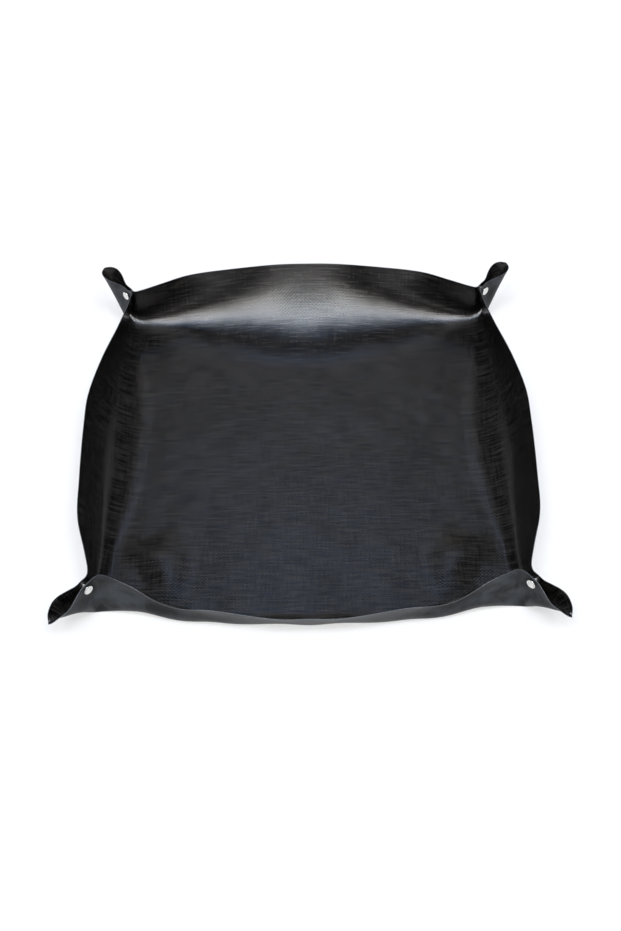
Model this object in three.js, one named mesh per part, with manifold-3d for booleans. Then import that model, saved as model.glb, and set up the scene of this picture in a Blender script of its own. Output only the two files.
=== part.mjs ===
// Potting soil tray: one square of coated sheet, folded up into a tray by a pair of
// press snaps at each corner. Millimetres, +Z up, front at -Y, origin on the ground.
//
// The sheet is not drawn as a shape. It is cut flat, its corners are pinched by the
// snaps, and it settles where bending, stretching and weight balance.
import * as THREE from 'three';
import { mergeVertices } from 'three/addons/utils/BufferGeometryUtils.js';
import Module from 'manifold-3d';

// Sheet, as cut
const sheetSide = 500;
const cornerRadius = 18;
const sheetThickness = 0.6;

// Snaps: where their centres lie on the flat sheet, along the edge and in from it
const snapAlong = 50;
const snapInset = 9;

// Snap pieces
const seatGap = 0.3;
const capRadius = 4.8;
const capRise = 1;
const capDish = 0.25;
const capRim = 0.35;
const postRadius = 0.9;
const rivetDepth = 0.6;
const studFlangeRadius = 4;
const studFlange = 0.6;
const studNeckRadius = 1.6;
const studBallRadius = 2;
const studRise = 2.2;
const studCrown = 0.6;
const socketRadius = 4.3;
const socketDepth = 2.9;
const socketPlate = 0.7;
const capSides = 16;
const snapSides = 12;

// Lobe of sheet round each socket, which lifts off with it when the snap is pulled open
const lobeHalfWidth = 10;
const lobeDepth = 8.5;
const lobeRadius = 6;
const cutReach = 14;
const lobeArcSteps = 5;

// How the tray stands after it is set up by hand. Draw-in is how far a place on the rim
// lies inside the edge of the flat sheet, height is its height over the ground. Quarters
// lie half way from the middle of a side to its end, shoulders just before the snaps.
const backMiddleDrawIn = 20;
const backMiddleHeight = 59.5;
const backQuarterDrawIn = 32.5;
const backQuarterHeight = 56.5;
const backShoulderDrawIn = 56;
const backShoulderHeight = 53;
const sideMiddleDrawIn = 27;
const sideMiddleHeight = 54;
const sideBackQuarterDrawIn = 45;
const sideBackQuarterHeight = 53.5;
const sideBackShoulderDrawIn = 57;
const sideFrontQuarterDrawIn = 34;
const sideFrontQuarterHeight = 51;
const sideFrontShoulderDrawIn = 50;
const sideFrontShoulderHeight = 52;
const frontShoulderDrawIn = 58;
const frontShoulderHeight = 54;
const frontQuarterDrawIn = 28;
const frontQuarterHeight = 34;
const frontMiddleDrawIn = 15;
const frontMiddleHeight = 30.5;
const shoulderBeyondSnap = 14;
const frontFootInset = 27;
const frontFootEndInset = 33;
const frontFootHeight = 3.5;
const frontFootHalf = 120;
const backTipDrawIn = 26;
const backTipHeight = 62;
const frontTipDrawIn = 12;
const frontTipHeight = 20;
const backMouthHalf = 8.5;
const frontMouthHalf = 12;
const rimMiddle = 30;

// What the sheet is like: the length at which a strip droops under its own weight, the
// depth whose stretching matches its weave, and how close two layers may come
const bendingLength = 50;
const weaveDepth = 1.5;
const layerHalfGap = 0.8;
const shearShare = 0.3;
const quarterShare = 0.5;
const insideShare = 0.999999;
const footShares = [0, 0.5, 1];

// How far each thing that holds the sheet gives way under a unit of load
const floorGive = 2.66;
const snapGive = 0.07;
const layerGive = 0.45;
const handGive = 1.3;
const mouthGive = 1.4;
const slipGive = 1.3;

// Division of the sheet, from its middle to an edge: a fine band along the edge
const fineBand = 92;
const fineSteps = 16;
const coarseSteps = 7;
const steps = fineSteps + coarseSteps;

// First folding, from which the sheet settles
const foldDepth = 58;
const startGap = 1.5;
const startBelly = 8;
const startBlend = 6;
const backKeelAngle = THREE.MathUtils.degToRad(75);
const frontKeelAngle = THREE.MathUtils.degToRad(65);
const wallAngle = THREE.MathUtils.degToRad(50);
const settleSteps = 6000;
const stepShare = 0.006;
const firstStepShare = 0.0002;
const enoughFallShare = 0.0001;
const mostHalvings = 20;
const memoryLength = 12;
const restShare = 0.02;
const flatShare = 0.0005;

// Sizes that follow from those above
const half = sheetSide / 2;
const halfThick = sheetThickness / 2;
const foldLine = half - foldDepth;
const snapStack = seatGap + studFlange + seatGap + socketDepth + seatGap;
const snapHalf = (snapStack + sheetThickness) / 2;
const columns = steps + 1;
const rows = 2 * steps + 1;
const nodeCount = columns * rows;
const nodeAt = (i, j) => i * rows + j;
const diagonalShare = Math.SQRT1_2;

// Pattern: flat coordinates of the right half of the sheet. Column 0 is the middle line,
// and the left half mirrors it. Corner squares are drawn in to the corner radius.
function dividedEdge() {
  const line = [];
  for (let i = 0; i < coarseSteps; i++) line.push((half - fineBand) * i / coarseSteps);
  for (let i = 0; i <= fineSteps; i++) line.push(half - fineBand + fineBand * i / fineSteps);
  return line;
}
const line = dividedEdge();
const flatU = new Float64Array(nodeCount);
const flatV = new Float64Array(nodeCount);
for (let i = 0; i < columns; i++) {
  for (let j = 0; j < rows; j++) {
    const end = j >= steps ? 1 : -1;
    let u = line[i];
    let v = line[Math.abs(j - steps)];
    const a = u - half + cornerRadius;
    const b = v - half + cornerRadius;
    if (a > 0 && b > 0) {
      const inward = Math.max(a, b) / Math.hypot(a, b);
      u = half - cornerRadius + a * inward;
      v = half - cornerRadius + b * inward;
    }
    flatU[nodeAt(i, j)] = u;
    flatV[nodeAt(i, j)] = end * v;
  }
}
const flatDistance = (a, b) => Math.hypot(flatU[a] - flatU[b], flatV[a] - flatV[b]);

// First folding: a flat base, leaning walls, and each corner square folded along its
// diagonal into an ear
function firstFolding() {
  const X = new Float64Array(3 * nodeCount);
  for (let k = 0; k < nodeCount; k++) {
    const end = flatV[k] < 0 ? -1 : 1;
    const u = flatU[k];
    const v = Math.abs(flatV[k]);
    const a = Math.max(0, u - foldLine);
    const b = Math.max(0, v - foldLine);
    const keel = end > 0 ? backKeelAngle : frontKeelAngle;
    let x = Math.min(u, foldLine);
    let y = Math.min(v, foldLine);
    let z = 0;
    if (a > 0 && b > 0) {
      const reach = Math.hypot(a, b);
      const turn = Math.atan2(Math.min(a, b), Math.max(a, b));
      const out = reach * Math.cos(keel - turn) * diagonalShare;
      const belly = startGap + startBelly * Math.sin(2 * turn) * reach / foldDepth;
      const apart = Math.sign(a - b) * belly * Math.min(1, Math.abs(a - b) / startBlend) * diagonalShare;
      x += out + apart;
      y += out - apart;
      z = reach * Math.sin(keel - turn);
    } else if (a > 0 || b > 0) {
      const toCorner = (Math.min(u, v) / foldLine) ** 3;
      const across = (1 - toCorner) * Math.cos(wallAngle) + toCorner * Math.cos(keel) * diagonalShare;
      const along = toCorner * Math.cos(keel) * diagonalShare;
      const up = (1 - toCorner) * Math.sin(wallAngle) + toCorner * Math.sin(keel);
      const reach = (a + b) / Math.hypot(across, along, up);
      x += reach * (a > 0 ? across : along);
      y += reach * (a > 0 ? along : across);
      z = reach * up;
    }
    X[3 * k] = x;
    X[3 * k + 1] = end * y;
    X[3 * k + 2] = z;
  }
  return X;
}

// Threads of the weave: springs along both directions and both diagonals of each cell
const bendStiffness = 1;
const stretchStiffness = 12 * bendStiffness / weaveDepth ** 2;
const weight = bendStiffness / bendingLength ** 3;
const nodeArea = new Float64Array(nodeCount);
const springs = [];
const bends = [];
function weaveCells() {
  for (let i = 0; i < steps; i++) {
    for (let j = 0; j < 2 * steps; j++) {
      const a = nodeAt(i, j);
      const b = nodeAt(i + 1, j);
      const c = nodeAt(i + 1, j + 1);
      const d = nodeAt(i, j + 1);
      const rising = (flatU[c] - flatU[a]) * (flatV[d] - flatV[b]);
      const falling = (flatU[d] - flatU[b]) * (flatV[c] - flatV[a]);
      const area = Math.abs(rising - falling) / 2;
      for (const k of [a, b, c, d]) nodeArea[k] += area / 4;
      const k = stretchStiffness * area / 2;
      for (const [p, q] of [[a, b], [d, c], [a, d], [b, c]]) springs.push([p, q, k]);
      for (const [p, q] of [[a, c], [b, d]]) springs.push([p, q, k * shearShare]);
    }
  }
}
weaveCells();

// Bending: second differences of the settled shape across three nodes and over a cell
function bendAlong(before, k, after) {
  const h0 = flatDistance(before, k);
  const h1 = flatDistance(k, after);
  const scale = 2 / (h0 + h1);
  const shares = [scale / h0, -scale / h0 - scale / h1, scale / h1];
  bends.push({ nodes: [before, k, after], weights: shares, stiffness: bendStiffness * nodeArea[k] });
}
function bendCells() {
  for (let i = 0; i < columns; i++) {
    for (let j = 0; j < rows; j++) {
      const k = nodeAt(i, j);
      if (i > 0 && i < steps) bendAlong(nodeAt(i - 1, j), k, nodeAt(i + 1, j));
      if (j > 0 && j < 2 * steps) bendAlong(nodeAt(i, j - 1), k, nodeAt(i, j + 1));
      if (i === 0) {
        const scale = 2 / flatDistance(k, nodeAt(1, j)) ** 2;
        const stiffness = bendStiffness * nodeArea[k];
        bends.push({ nodes: [k, nodeAt(1, j)], weights: [-scale, scale], stiffness, mirrored: true });
      }
      if (i < steps && j < 2 * steps) {
        const nodes = [k, nodeAt(i + 1, j), nodeAt(i + 1, j + 1), nodeAt(i, j + 1)];
        const wide = (flatDistance(nodes[0], nodes[1]) + flatDistance(nodes[3], nodes[2])) / 2;
        const long = (flatDistance(nodes[0], nodes[3]) + flatDistance(nodes[1], nodes[2])) / 2;
        const area = wide * long;
        const weights = [1 / area, -1 / area, 1 / area, -1 / area];
        bends.push({ nodes, weights, stiffness: 2 * bendStiffness * area });
      }
    }
  }
}
bendCells();

// A place on the pattern as a weighted mix of the four nodes round it
function patternPlace(u, v) {
  const side = (value) => {
    const size = Math.min(Math.abs(value), half * insideShare);
    const cell = line.findIndex((x) => x > size) - 1;
    return [cell, (size - line[cell]) / (line[cell + 1] - line[cell])];
  };
  const [i, fu] = side(u);
  const [j, fv] = side(v);
  const row = (q) => v < 0 ? steps - q : steps + q;
  return [
    [nodeAt(i, row(j)), (1 - fu) * (1 - fv)],
    [nodeAt(i + 1, row(j)), fu * (1 - fv)],
    [nodeAt(i, row(j + 1)), (1 - fu) * fv],
    [nodeAt(i + 1, row(j + 1)), fu * fv],
  ];
}
function settledPlace(X, place) {
  const point = [0, 0, 0];
  for (const [k, share] of place) {
    for (let c = 0; c < 3; c++) point[c] += share * X[3 * k + c];
  }
  return point;
}

// Holds: each pulls a weighted sum of node positions, taken along one direction, to a value
const holds = [];
function hold(place, direction, value, give) {
  holds.push({ place, direction, value, stiffness: 1 / give ** 2 });
}
const alongX = [1, 0, 0];
const alongY = [0, 1, 0];
const alongZ = [0, 0, 1];

// Each corner's layers lie to either side of its diagonal plane. wall 1 is the side
// wall's layer, wall -1 the layer of the front or back wall.
const cornerEnds = [1, -1];
const acrossFold = (end) => [diagonalShare, -end * diagonalShare, 0];
const alongFold = (end) => [diagonalShare, end * diagonalShare, 0];
function cornerPlace(end, wall, inset, along) {
  if (wall > 0) return patternPlace(half - inset, end * (half - along));
  return patternPlace(half - along, end * (half - inset));
}
const minus = (place) => place.map(([k, share]) => [k, -share]);
function holdSnaps() {
  for (const end of cornerEnds) {
    for (const wall of [1, -1]) {
      for (const a of [-capRadius, 0, capRadius]) {
        for (const b of [-capRadius, 0, capRadius]) {
          const place = cornerPlace(end, wall, snapInset + a, snapAlong + b);
          hold(place, acrossFold(end), wall * snapHalf, snapGive);
        }
      }
      const mouth = cornerPlace(end, wall, 0, snapAlong / 2);
      const mouthHalf = end > 0 ? backMouthHalf : frontMouthHalf;
      hold(mouth, acrossFold(end), wall * mouthHalf, mouthGive);
    }
    const outer = cornerPlace(end, 1, snapInset, snapAlong);
    const inner = minus(cornerPlace(end, -1, snapInset, snapAlong));
    hold([...outer, ...inner], alongFold(end), 0, slipGive);
    hold([...outer, ...inner], alongZ, 0, slipGive);
  }
}
function holdRim(u, v, direction, drawIn, height) {
  const place = patternPlace(u, v);
  const outward = direction === alongX ? 1 : Math.sign(v);
  hold(place, direction, outward * (half - drawIn), handGive);
  hold(place, alongZ, height, handGive);
}
function holdPosture() {
  const quarter = half * quarterShare;
  const shoulder = half - snapAlong - shoulderBeyondSnap;
  for (const u of [0, rimMiddle]) {
    holdRim(u, half, alongY, backMiddleDrawIn, backMiddleHeight);
    holdRim(half, u, alongX, sideMiddleDrawIn, sideMiddleHeight);
    holdRim(u, -half, alongY, frontMiddleDrawIn, frontMiddleHeight);
  }
  holdRim(quarter, half, alongY, backQuarterDrawIn, backQuarterHeight);
  holdRim(half, quarter, alongX, sideBackQuarterDrawIn, sideBackQuarterHeight);
  holdRim(half, -quarter, alongX, sideFrontQuarterDrawIn, sideFrontQuarterHeight);
  holdRim(quarter, -half, alongY, frontQuarterDrawIn, frontQuarterHeight);
  holdRim(shoulder, half, alongY, backShoulderDrawIn, backShoulderHeight);
  holdRim(half, shoulder, alongX, sideBackShoulderDrawIn, backShoulderHeight);
  holdRim(half, -shoulder, alongX, sideFrontShoulderDrawIn, sideFrontShoulderHeight);
  holdRim(shoulder, -half, alongY, frontShoulderDrawIn, frontShoulderHeight);
  for (const end of cornerEnds) {
    const tip = [[nodeAt(steps, end > 0 ? 2 * steps : 0), 1]];
    const tipIn = end > 0 ? backTipDrawIn : frontTipDrawIn;
    hold(tip, alongFold(end), (half - tipIn) / diagonalShare, handGive);
    hold(tip, alongZ, end > 0 ? backTipHeight : frontTipHeight, handGive);
  }
  for (const share of footShares) {
    const inset = frontFootInset + (frontFootEndInset - frontFootInset) * share ** 2;
    const foot = patternPlace(share * frontFootHalf, inset - half);
    hold(foot, alongY, inset - half, handGive);
    hold(foot, alongZ, frontFootHeight, handGive);
  }
}
holdSnaps();
holdPosture();

// Energy of a shape and its slope: what settling makes small
function stretchEnergy(X, G) {
  let energy = 0;
  for (const [p, q, stiffness] of springs) {
    const a = 3 * p;
    const b = 3 * q;
    const dx = X[b] - X[a];
    const dy = X[b + 1] - X[a + 1];
    const dz = X[b + 2] - X[a + 2];
    const long = Math.sqrt(dx * dx + dy * dy + dz * dz);
    const rest = flatDistance(p, q);
    const strain = long / rest - 1;
    energy += stiffness * strain * strain / 2;
    const pull = stiffness * strain / (rest * long);
    G[a] -= pull * dx;
    G[a + 1] -= pull * dy;
    G[a + 2] -= pull * dz;
    G[b] += pull * dx;
    G[b + 1] += pull * dy;
    G[b + 2] += pull * dz;
  }
  return energy;
}
function bendEnergy(X, G) {
  let energy = 0;
  for (const { nodes, weights, stiffness, mirrored } of bends) {
    for (let c = mirrored ? 1 : 0; c < 3; c++) {
      let curve = 0;
      for (let m = 0; m < nodes.length; m++) curve += weights[m] * X[3 * nodes[m] + c];
      energy += stiffness * curve * curve / 2;
      for (let m = 0; m < nodes.length; m++) G[3 * nodes[m] + c] += stiffness * curve * weights[m];
    }
  }
  return energy;
}
function groundEnergy(X, G) {
  let energy = 0;
  const floor = 1 / floorGive ** 4;
  for (let k = 0; k < nodeCount; k++) {
    const z = X[3 * k + 2];
    const below = Math.min(0, z);
    energy += nodeArea[k] * (weight * z + floor * below * below / 2);
    G[3 * k + 2] += nodeArea[k] * (weight + floor * below);
  }
  return energy;
}
const foldNodes = [];
for (let k = 0; k < nodeCount; k++) {
  if (flatU[k] > foldLine - 2 * snapInset && Math.abs(flatV[k]) > foldLine - 2 * snapInset) {
    const [x, y] = acrossFold(flatV[k] < 0 ? -1 : 1);
    foldNodes.push({ k, x, y, apart: flatU[k] * x + flatV[k] * y });
  }
}
function foldEnergy(X, G) {
  let energy = 0;
  for (const { k, x, y, apart } of foldNodes) {
    const across = X[3 * k] * x + X[3 * k + 1] * y;
    const onKeel = apart === 0;
    const wanted = Math.sign(apart) * Math.min(layerHalfGap, Math.abs(apart));
    const short = onKeel ? across : across - wanted;
    if (!onKeel && short * Math.sign(apart) > 0) continue;
    const stiffness = 1 / (onKeel ? snapGive : layerGive) ** 2;
    energy += stiffness * short * short / 2;
    G[3 * k] += stiffness * short * x;
    G[3 * k + 1] += stiffness * short * y;
  }
  return energy;
}
function holdEnergy(X, G) {
  let energy = 0;
  for (const { place, direction, value, stiffness } of holds) {
    let off = -value;
    for (const [k, share] of place) {
      off += share * (X[3 * k] * direction[0] + X[3 * k + 1] * direction[1] + X[3 * k + 2] * direction[2]);
    }
    energy += stiffness * off * off / 2;
    for (const [k, share] of place) {
      for (let c = 0; c < 3; c++) G[3 * k + c] += stiffness * off * share * direction[c];
    }
  }
  return energy;
}
function totalEnergy(X, G) {
  G.fill(0);
  let energy = stretchEnergy(X, G) + bendEnergy(X, G) + groundEnergy(X, G);
  energy += foldEnergy(X, G) + holdEnergy(X, G);
  for (let j = 0; j < rows; j++) G[3 * nodeAt(0, j)] = 0;
  return energy;
}

// Settling: a limited-memory quasi-Newton descent
function dot(a, b) {
  let sum = 0;
  for (let i = 0; i < a.length; i++) sum += a[i] * b[i];
  return sum;
}
function addScaled(target, scale, from) {
  for (let i = 0; i < target.length; i++) target[i] += scale * from[i];
}
function largest(a) {
  let size = 0;
  for (let i = 0; i < a.length; i++) size = Math.max(size, Math.abs(a[i]));
  return size;
}
function descentDirection(G, memory) {
  const d = G.map((g) => -g);
  const shares = [];
  for (let m = memory.length - 1; m >= 0; m--) {
    shares[m] = memory[m].inverse * dot(memory[m].step, d);
    addScaled(d, -shares[m], memory[m].slope);
  }
  if (memory.length) {
    const { slope, inverse } = memory[memory.length - 1];
    const scale = 1 / (inverse * dot(slope, slope));
    for (let i = 0; i < d.length; i++) d[i] *= scale;
  } else {
    const scale = sheetSide * firstStepShare / largest(G);
    for (let i = 0; i < d.length; i++) d[i] *= scale;
  }
  for (let m = 0; m < memory.length; m++) {
    addScaled(d, shares[m] - memory[m].inverse * dot(memory[m].slope, d), memory[m].step);
  }
  return d;
}
function settle(X) {
  const G = new Float64Array(X.length);
  const nextX = new Float64Array(X.length);
  const nextG = new Float64Array(X.length);
  let energy = totalEnergy(X, G);
  let memory = [];
  for (let turn = 0; turn < settleSteps; turn++) {
    if (largest(G) * sheetSide < restShare) break;
    const d = descentDirection(G, memory);
    const slope = dot(G, d);
    let length = Math.min(1, sheetSide * stepShare / largest(d));
    let found = false;
    for (let attempt = 0; attempt < mostHalvings && slope < 0 && !found; attempt++) {
      for (let i = 0; i < X.length; i++) nextX[i] = X[i] + length * d[i];
      const next = totalEnergy(nextX, nextG);
      found = next <= energy + enoughFallShare * length * slope;
      if (found) energy = next;
      else length /= 2;
    }
    if (!found && !memory.length) break;
    if (!found) {
      memory = [];
      continue;
    }
    const step = nextX.map((x, i) => x - X[i]);
    const change = nextG.map((g, i) => g - G[i]);
    const curve = dot(step, change);
    if (curve > 0) memory.push({ step, slope: change, inverse: 1 / curve });
    if (memory.length > memoryLength) memory.shift();
    X.set(nextX);
    G.set(nextG);
  }
  return X;
}
const settled = settle(firstFolding());

// Middle surface of the whole sheet, left half mirrored, with the resting part made flat
const middle = [];
for (let i = 0; i < rows; i++) {
  for (let j = 0; j < rows; j++) {
    const k = 3 * nodeAt(Math.abs(i - steps), j);
    const z = settled[k + 2] < sheetSide * flatShare ? 0 : settled[k + 2];
    middle.push(new THREE.Vector3(Math.sign(i - steps) * settled[k], settled[k + 1], z + halfThick));
  }
}

// Two skins half a thickness to either side of the middle surface, closed along the rim
function sheetGeometry() {
  const normals = middle.map(() => new THREE.Vector3());
  const cells = [];
  for (let i = 0; i + 1 < rows; i++) {
    for (let j = 0; j + 1 < rows; j++) {
      const [a, b, c, d] = [nodeAt(i, j), nodeAt(i + 1, j), nodeAt(i + 1, j + 1), nodeAt(i, j + 1)];
      const falling = (i < steps) === (j < steps);
      cells.push(...(falling ? [[a, b, c], [a, c, d]] : [[a, b, d], [b, c, d]]));
    }
  }
  for (const cell of cells) {
    const [a, b, c] = cell.map((k) => middle[k]);
    const normal = b.clone().sub(a).cross(c.clone().sub(a));
    for (const k of cell) normals[k].add(normal);
  }
  normals.forEach((normal, k) => {
    if (middle[k].z === halfThick) normal.set(0, 0, 1);
    normal.normalize();
  });
  const top = middle.map((p, k) => p.clone().addScaledVector(normals[k], halfThick));
  const bottom = middle.map((p, k) => p.clone().addScaledVector(normals[k], -halfThick));
  const positions = [...top, ...bottom].flatMap((p) => [p.x, p.y, Math.max(0, p.z)]);
  const index = [];
  const count = middle.length;
  for (const [a, b, c] of cells) index.push(a, b, c, a + count, c + count, b + count);
  const rim = [];
  const last = rows - 1;
  for (let i = 0; i < last; i++) {
    rim.push([nodeAt(i + 1, 0), nodeAt(i, 0)], [nodeAt(i, last), nodeAt(i + 1, last)]);
    rim.push([nodeAt(0, i), nodeAt(0, i + 1)], [nodeAt(last, i + 1), nodeAt(last, i)]);
  }
  for (const [a, b] of rim) index.push(a, b, b + count, a, b + count, a + count);
  const geometry = new THREE.BufferGeometry();
  geometry.setAttribute('position', new THREE.Float32BufferAttribute(positions, 3));
  geometry.setIndex(index);
  return geometry;
}

// Solids for cutting
const wasm = await Module();
wasm.setup();
const perPoint = 3;
function toSolid(geometry) {
  const bare = geometry.clone();
  bare.deleteAttribute('normal');
  bare.deleteAttribute('uv');
  const merged = mergeVertices(bare);
  const index = merged.index.array;
  const kept = [];
  for (let k = 0; k < index.length; k += perPoint) {
    const [a, b, c] = index.slice(k, k + perPoint);
    if (a !== b && b !== c && c !== a) kept.push(a, b, c);
  }
  return new wasm.Manifold(new wasm.Mesh({
    numProp: perPoint,
    vertProperties: merged.getAttribute('position').array,
    triVerts: Uint32Array.from(kept),
  }));
}
function toGeometry(solid) {
  const mesh = solid.getMesh();
  const positions = [];
  for (let k = 0; k < mesh.vertProperties.length; k += mesh.numProp) {
    positions.push(...mesh.vertProperties.slice(k, k + perPoint));
  }
  const geometry = new THREE.BufferGeometry();
  geometry.setAttribute('position', new THREE.Float32BufferAttribute(positions, 3));
  geometry.setIndex(Array.from(mesh.triVerts));
  geometry.computeVertexNormals();
  return geometry;
}

// Corners: each has a frame on its diagonal plane. Its Y axis is the snap's axis and
// points from the stud to the socket, its X axis runs along the rim toward the ear.
const corners = [];
for (const [name, side, end] of [['fl', -1, -1], ['fr', 1, -1], ['bl', -1, 1], ['br', 1, 1]]) {
  const at = (inset, along) => {
    const outer = settledPlace(settled, cornerPlace(end, 1, inset, along));
    const inner = settledPlace(settled, cornerPlace(end, -1, inset, along));
    const [x, y, z] = outer.map((value, c) => (value + inner[c]) / 2);
    return new THREE.Vector3(side * x, y, z + halfThick);
  };
  const centre = at(snapInset, snapAlong);
  const axis = new THREE.Vector3(side * diagonalShare, -end * diagonalShare, 0);
  centre.addScaledVector(axis, -centre.dot(axis));
  const toRim = at(0, snapAlong).sub(centre);
  toRim.addScaledVector(axis, -toRim.dot(axis)).normalize();
  const alongRim = new THREE.Vector3().crossVectors(axis, toRim);
  const frame = new THREE.Matrix4().makeBasis(alongRim, axis, toRim.clone()).setPosition(centre);
  corners.push({ name, frame });
}

// Lobe cut: a rounded tongue across the side wall's layer, from below the snap to the rim
function lobeCut(spread) {
  const w = lobeHalfWidth + spread;
  const low = lobeDepth + spread;
  const r = lobeRadius + spread;
  const shape = new THREE.Shape();
  shape.moveTo(w, cutReach);
  shape.lineTo(-w, cutReach);
  shape.lineTo(-w, r - low);
  shape.absarc(r - w, r - low, r, Math.PI, 1.5 * Math.PI, false);
  shape.absarc(w - r, r - low, r, 1.5 * Math.PI, 2 * Math.PI, false);
  shape.closePath();
  const options = { depth: cutReach, bevelEnabled: false, curveSegments: lobeArcSteps };
  const geometry = new THREE.ExtrudeGeometry(shape, options);
  return geometry.rotateX(Math.PI / 2).translate(0, cutReach, 0);
}
const holeRadius = postRadius + seatGap;
const postHole = () => new THREE.CylinderGeometry(holeRadius, holeRadius, 2 * cutReach, snapSides);

// Snap pieces, turned round the snap's axis. Heights are from the fold's middle plane.
function turned(points, sides) {
  return new THREE.LatheGeometry(points.map(([r, y]) => new THREE.Vector2(r, y)), sides);
}
const sheetFace = snapStack / 2;
const capSeat = sheetFace + sheetThickness + seatGap;
function capGeometry() {
  const top = capSeat + capRise;
  return turned([
    [0, capSeat - 2 * seatGap - sheetThickness - rivetDepth],
    [postRadius, capSeat - 2 * seatGap - sheetThickness - rivetDepth],
    [postRadius, capSeat],
    [capRadius - capRim, capSeat],
    [capRadius, capSeat + capRim],
    [capRadius, top - 1.5 * capRim],
    [capRadius - capRim / 2, top - capRim / 2],
    [capRadius - 1.5 * capRim, top],
    [capRadius - 3 * capRim, top],
    [0, top - capDish],
  ], capSides);
}
function studGeometry() {
  const foot = seatGap - sheetFace;
  const deck = foot + studFlange;
  const top = deck + studRise;
  const neckEnd = deck + studRise / 2;
  return turned([
    [0, top - studCrown],
    [holeRadius, top - studCrown],
    [holeRadius, foot],
    [studFlangeRadius, foot],
    [studFlangeRadius, deck - studFlange / 3],
    [studFlangeRadius - studFlange / 3, deck],
    [studNeckRadius, deck],
    [studNeckRadius, neckEnd],
    [studBallRadius, neckEnd + studCrown],
    [studBallRadius - studCrown / 6, top - studCrown / 2],
    [studNeckRadius - studCrown / 3, top],
    [0, top],
  ], snapSides);
}
function socketGeometry() {
  const back = sheetFace - seatGap;
  const face = back - socketDepth;
  const bore = studBallRadius + seatGap;
  return turned([
    [holeRadius, back - socketPlate],
    [bore, back - socketPlate],
    [bore, face + seatGap],
    [bore + seatGap, face],
    [socketRadius - 2 * seatGap, face],
    [socketRadius, face + 2 * seatGap],
    [socketRadius, back],
    [holeRadius, back],
    [holeRadius, back - socketPlate],
  ], snapSides);
}

// Assembly
const black = 0x34373a;
const nickel = 0xdfe1e2;
const sheetLook = () => new THREE.MeshStandardMaterial({ color: black, roughness: 0.42, metalness: 0 });
const nickelLook = () => new THREE.MeshStandardMaterial({ color: nickel, roughness: 0.18, metalness: 1 });
const tray = new THREE.Group();
const sheetBox = new THREE.Box3().setFromPoints(middle);
const toOrigin = -(sheetBox.min.y + sheetBox.max.y) / 2;
function addPiece(name, geometry, material) {
  const mesh = new THREE.Mesh(geometry.translate(0, toOrigin, 0), material);
  mesh.name = name;
  tray.add(mesh);
}
let sheet = toSolid(sheetGeometry());
for (const { frame } of corners) sheet = sheet.subtract(toSolid(postHole().applyMatrix4(frame)));
const whole = sheet;
for (const { name, frame } of corners) {
  const lobe = whole.intersect(toSolid(lobeCut(0).applyMatrix4(frame)));
  sheet = sheet.subtract(toSolid(lobeCut(seatGap).applyMatrix4(frame)));
  addPiece(`snap_lobe_${name}`, toGeometry(lobe), sheetLook());
}
addPiece('tray_sheet', toGeometry(sheet), sheetLook());
const turnedOver = new THREE.Matrix4().makeRotationX(Math.PI);
for (const { name, frame } of corners) {
  addPiece(`stud_cap_${name}`, capGeometry().applyMatrix4(turnedOver).applyMatrix4(frame), nickelLook());
  addPiece(`stud_${name}`, studGeometry().applyMatrix4(frame), nickelLook());
  addPiece(`socket_${name}`, socketGeometry().applyMatrix4(frame), nickelLook());
  addPiece(`socket_cap_${name}`, capGeometry().applyMatrix4(frame), nickelLook());
}

export default tray;
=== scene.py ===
# %% [markdown]
# # A potting tray made of one flat sheet
# The real object is a square of coated woven sheet. A press snap near each corner pinches the
# sheet into an ear, and that alone makes the edges stand up as walls. So this lesson never draws
# the tray's shape. It cuts a flat sheet, holds it as the snaps do, and lets it settle.

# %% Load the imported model
import math
import bmesh
import bpy
import numpy as np
from mathutils import Matrix, Vector


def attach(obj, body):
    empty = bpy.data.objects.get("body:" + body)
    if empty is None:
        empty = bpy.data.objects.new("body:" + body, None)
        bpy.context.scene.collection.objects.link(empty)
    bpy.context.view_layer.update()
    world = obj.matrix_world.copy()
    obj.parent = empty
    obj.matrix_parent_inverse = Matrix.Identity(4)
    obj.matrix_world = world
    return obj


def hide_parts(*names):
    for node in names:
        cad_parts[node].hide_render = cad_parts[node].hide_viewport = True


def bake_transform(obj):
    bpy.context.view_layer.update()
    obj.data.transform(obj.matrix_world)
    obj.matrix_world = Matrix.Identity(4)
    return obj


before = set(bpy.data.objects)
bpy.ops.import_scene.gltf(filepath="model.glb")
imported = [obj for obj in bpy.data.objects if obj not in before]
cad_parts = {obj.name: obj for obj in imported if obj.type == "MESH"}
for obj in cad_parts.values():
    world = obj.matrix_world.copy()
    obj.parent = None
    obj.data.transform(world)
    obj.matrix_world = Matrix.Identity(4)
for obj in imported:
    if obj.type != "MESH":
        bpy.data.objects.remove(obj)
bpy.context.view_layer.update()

MM = 0.001

# %% [markdown]
# ## The flat sheet
# Such mats are cut 500 mm square, with rounded corners. Every place on the sheet is known by its
# flat coordinates, which are later also its texture coordinates. The sheet mirrors left to right,
# so only its right half is settled. Lines are close together near the edge, where the folds are.

# %% Sizes of the sheet and its snaps, in millimetres
SHEET_SIDE = 500.0
CORNER_RADIUS = 18.0
SHEET_THICKNESS = 0.6
SNAP_ALONG = 50.0
SNAP_INSET = 9.0
SNAP_STACK = 4.4
CAP_RADIUS = 4.8
FINE_BAND = 92.0
FINE_STEPS = 16
COARSE_STEPS = 7
half = SHEET_SIDE / 2
steps = FINE_STEPS + COARSE_STEPS
snap_half = (SNAP_STACK + SHEET_THICKNESS) / 2
edge_line = np.concatenate([
    (half - FINE_BAND) * np.arange(COARSE_STEPS) / COARSE_STEPS,
    half - FINE_BAND + FINE_BAND * np.arange(FINE_STEPS + 1) / FINE_STEPS,
])
print("lines from the middle to an edge:", len(edge_line))


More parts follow.
